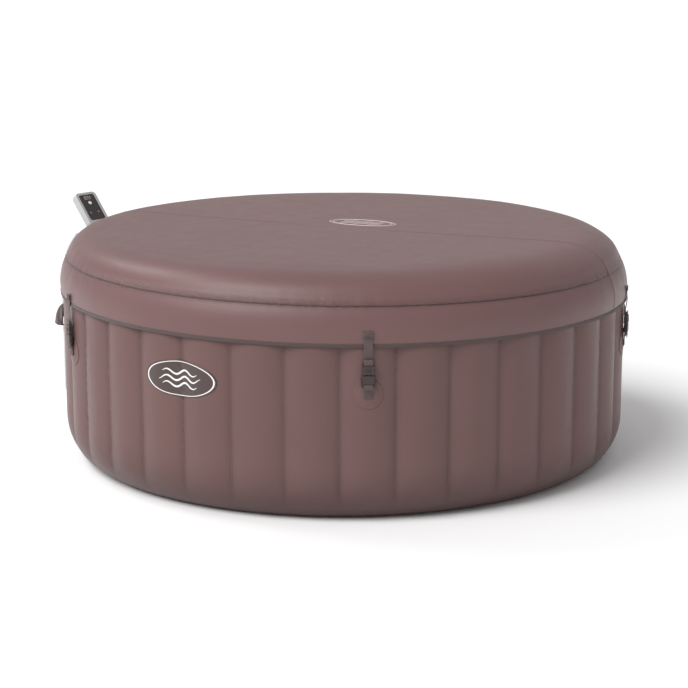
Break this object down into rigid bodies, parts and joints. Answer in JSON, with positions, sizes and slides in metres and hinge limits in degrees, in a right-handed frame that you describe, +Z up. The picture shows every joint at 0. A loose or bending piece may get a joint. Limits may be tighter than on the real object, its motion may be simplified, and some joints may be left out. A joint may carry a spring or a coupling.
{
  "type": "inflatable hot tub",
  "caption": "Round inflatable hot tub with a fluted air wall, a padded strap-down cover, carry handles and a free-standing pump and heater unit with a swivelling panel.",
  "frame": {"origin": "middle of the tub underside, on the ground", "axes": "+Z up; -Y is the front of the tub, where the first strap is; +X is to the right seen from the front"},
  "size_m": [2.0354, 1.9891, 0.778],
  "materials": {
    "wall_vinyl": "satin embossed vinyl",
    "pipe_plastic": "satin",
    "cover_cloth": "matt pebble-grained coated cloth",
    "foil_liner": "aluminised foam film",
    "bladder_film": "plain film",
    "webbing": "woven polyester webbing",
    "buckle_nylon": "fine moulded texture",
    "handle_vinyl": "satin moulded vinyl",
    "badge_vinyl": "printed film",
    "light_grey_plastic": "satin moulded",
    "panel_gloss": "glossy film",
    "white_plastic": "satin",
    "filter_paper": "pleated paper",
    "steel": "brushed",
    "circuit_board": "coated"
  },
  "bodies": {
    "tub": {"outer_wall": "wall_vinyl", "inner_wall": "wall_vinyl", "i_beam_webs": "wall_vinyl", "floor_sheet": "wall_vinyl", "bubble_ring": "wall_vinyl", "air_feed_hose": "pipe_plastic", "tub_air_valve": "pipe_plastic", "drain_valve": "pipe_plastic", "intake_pipe": "pipe_plastic", "outlet_pipe": "pipe_plastic", "air_hose": "pipe_plastic", "buckle_tether_1": "webbing", "buckle_tether_2": "webbing", "buckle_tether_3": "webbing", "buckle_tether_4": "webbing", "buckle_tether_5": "webbing", "buckle_plug_1": "buckle_nylon", "buckle_plug_2": "buckle_nylon", "buckle_plug_3": "buckle_nylon", "buckle_plug_4": "buckle_nylon", "buckle_plug_5": "buckle_nylon", "pump_volute": "buckle_nylon", "air_blower": "buckle_nylon", "power_gland": "buckle_nylon", "handle_left": "handle_vinyl", "handle_right": "handle_vinyl", "wall_badge": "badge_vinyl", "intake_fitting": "light_grey_plastic", "outlet_fitting": "light_grey_plastic", "air_fitting": "light_grey_plastic", "outlet_screen": "light_grey_plastic", "filter_housing": "light_grey_plastic", "pump_lower_shell": "light_grey_plastic", "pump_upper_shell": "light_grey_plastic", "filter_cartridge": "filter_paper", "pump_motor": "steel", "heater_tube": "steel", "circuit_board": "circuit_board"},
    "cover": {"cover_shell": "cover_cloth", "cover_liner": "foil_liner", "lid_bladder": "bladder_film", "cover_strap_1": "webbing", "cover_strap_2": "webbing", "cover_strap_3": "webbing", "cover_strap_4": "webbing", "cover_strap_5": "webbing", "buckle_socket_1": "buckle_nylon", "buckle_socket_2": "buckle_nylon", "buckle_socket_3": "buckle_nylon", "buckle_socket_4": "buckle_nylon", "buckle_socket_5": "buckle_nylon"},
    "control_panel": {"panel_neck": "light_grey_plastic", "panel_housing": "light_grey_plastic", "panel_face": "panel_gloss"},
    "power_button": {"power_button": "white_plastic"},
    "filter_cap": {"filter_cap": "light_grey_plastic"},
    "tub_valve_cap": {"tub_valve_cap": "buckle_nylon"},
    "drain_cap": {"drain_cap": "buckle_nylon"},
    "impeller": {"impeller": "white_plastic"},
    "blower_fan": {"blower_fan": "white_plastic"}
  },
  "joints": [
    {"name": "cover_lift", "type": "slide", "parent": "tub", "child": "cover", "axis": [0, 0, 1], "range_m": [0, 0.3]},
    {"name": "panel_swivel", "type": "hinge", "parent": "tub", "child": "control_panel", "pos_m": [-0.88326, 0.84448, 0.63], "axis": [0, 0, 1], "range_deg": [-50, 50]},
    {"name": "power_button_press", "type": "slide", "parent": "control_panel", "child": "power_button", "axis": [-0.5696, 0.5446, -0.6157], "range_m": [0, 0.0015], "stiffness_N_per_m": 300},
    {"name": "filter_cap_turn", "type": "hinge", "parent": "tub", "child": "filter_cap", "pos_m": [0, 0, 0.33], "axis": [-0.7228, 0.6911, 0], "range_deg": [0, 60]},
    {"name": "tub_valve_cap_turn", "type": "hinge", "parent": "tub", "child": "tub_valve_cap", "pos_m": [0, 0, 0.3], "axis": [0.4339, 0.901, 0], "continuous": true},
    {"name": "drain_cap_turn", "type": "hinge", "parent": "tub", "child": "drain_cap", "pos_m": [0, 0, 0.08], "axis": [0.0896, 0.996, 0], "continuous": true},
    {"name": "impeller_spin", "type": "hinge", "parent": "tub", "child": "impeller", "pos_m": [0, 0, 0.33], "axis": [-0.7228, 0.6911, 0], "continuous": true},
    {"name": "blower_fan_spin", "type": "hinge", "parent": "tub", "child": "blower_fan", "pos_m": [-0.8782, 0.83964, 0.47], "axis": [0, 0, 1], "continuous": true}
  ]
}
